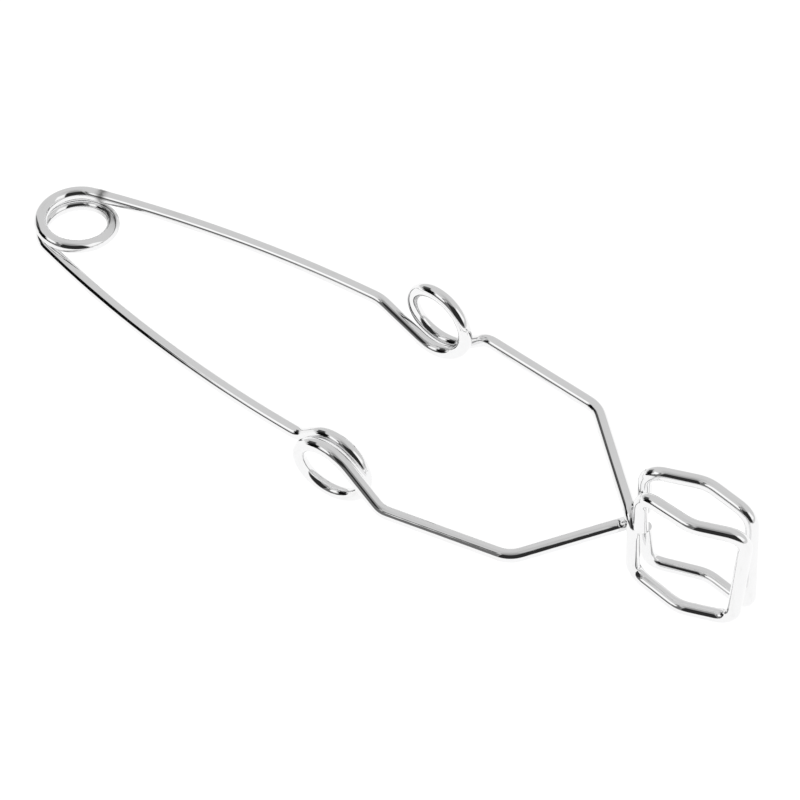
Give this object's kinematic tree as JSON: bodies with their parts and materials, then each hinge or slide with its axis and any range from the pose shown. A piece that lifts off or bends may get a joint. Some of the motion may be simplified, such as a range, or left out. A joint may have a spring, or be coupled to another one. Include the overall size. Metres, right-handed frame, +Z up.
{
  "type": "test tube holder",
  "caption": "Spring-wire hand clamp whose crossed legs open two wire jaws when the finger rings are squeezed, for holding a hot test tube.",
  "frame": {"origin": "centre of the rear coil, on its axis, half way up", "axes": "+X from the coil towards the jaws, +Y to the left, +Z up along a held tube's axis; the coil's own axis leans 7.6 degrees from it, towards +Y"},
  "size_m": [0.1421, 0.0373, 0.0269],
  "materials": {
    "plated_wire": "bright nickel plate, polished"
  },
  "bodies": {
    "coil": {"lower_coil": "plated_wire", "middle_coil": "plated_wire", "upper_coil": "plated_wire"},
    "left_leg": {"left_rear_shank": "plated_wire", "left_ring_lead_in": "plated_wire", "left_finger_ring": "plated_wire", "left_front_shank": "plated_wire", "left_crossing_arm": "plated_wire", "left_jaw_riser": "plated_wire", "left_jaw_lower_bar": "plated_wire", "left_jaw_upper_bar": "plated_wire", "left_jaw_tip": "plated_wire", "left_jaw_tail": "plated_wire"},
    "right_leg": {"right_rear_shank": "plated_wire", "right_ring_lead_in": "plated_wire", "right_finger_ring": "plated_wire", "right_front_shank": "plated_wire", "right_crossing_arm": "plated_wire", "right_jaw_riser": "plated_wire", "right_jaw_lower_bar": "plated_wire", "right_jaw_upper_bar": "plated_wire", "right_jaw_tip": "plated_wire", "right_jaw_tail": "plated_wire"}
  },
  "joints": [
    {"name": "left_squeeze", "type": "hinge", "parent": "coil", "child": "left_leg", "pos_m": [0, 0, 0], "axis": [0, 0, -1], "range_deg": [0, 8], "stiffness_Nm_per_rad": 4},
    {"name": "right_squeeze", "type": "hinge", "parent": "coil", "child": "right_leg", "pos_m": [0, 0, 0], "axis": [0, 0, 1], "range_deg": [0, 8], "stiffness_Nm_per_rad": 4}
  ],
  "couplings": [
    {"joint": "right_squeeze", "follows": "left_squeeze", "ratio": 1}
  ]
}
